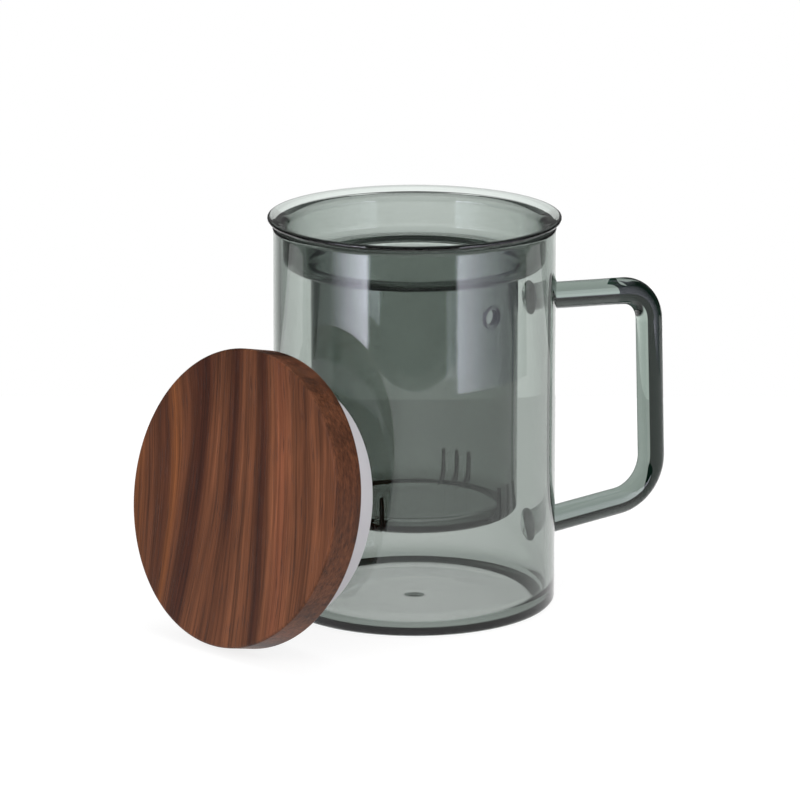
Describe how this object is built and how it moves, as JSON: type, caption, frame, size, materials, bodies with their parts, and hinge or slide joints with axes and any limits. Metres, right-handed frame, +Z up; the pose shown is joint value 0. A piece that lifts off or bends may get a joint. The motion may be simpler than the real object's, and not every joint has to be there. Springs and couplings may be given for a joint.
{
  "type": "lidded glass tea mug with infuser",
  "caption": "Cylindrical smoke-glass tea mug with a bent rod handle, a slitted glass infuser insert hung in its rim, and a walnut lid with silicone seal leaning on its wall.",
  "frame": {"origin": "centre of the mug's flat base, on the surface it stands on", "axes": "+Z up along the mug's axis, +X from that axis towards the handle; the lid leans against the wall on the other side"},
  "size_m": [0.1726, 0.1046, 0.1186],
  "materials": {
    "mug_glass": "smoke-grey-green borosilicate, fire polished",
    "handle_glass": "solid smoke-grey-green glass rod, fire polished",
    "infuser_glass": "smoke-grey-green borosilicate, fire polished",
    "walnut": "oiled walnut, satin",
    "silicone": "translucent white silicone, matt"
  },
  "bodies": {
    "mug": {"mug_body": "mug_glass", "handle": "handle_glass"},
    "infuser": {"infuser": "infuser_glass"},
    "lid": {"lid_disc": "walnut", "lid_seal": "silicone"}
  },
  "joints": [
    {"name": "infuser_lift", "type": "slide", "parent": "mug", "child": "infuser", "axis": [0, 0, 1], "range_m": [0, 0.1]},
    {"name": "lid_pull", "type": "slide", "parent": "mug", "child": "lid", "axis": [-0.9433, -0.2457, 0.2233], "range_m": [0, 0.12]}
  ]
}
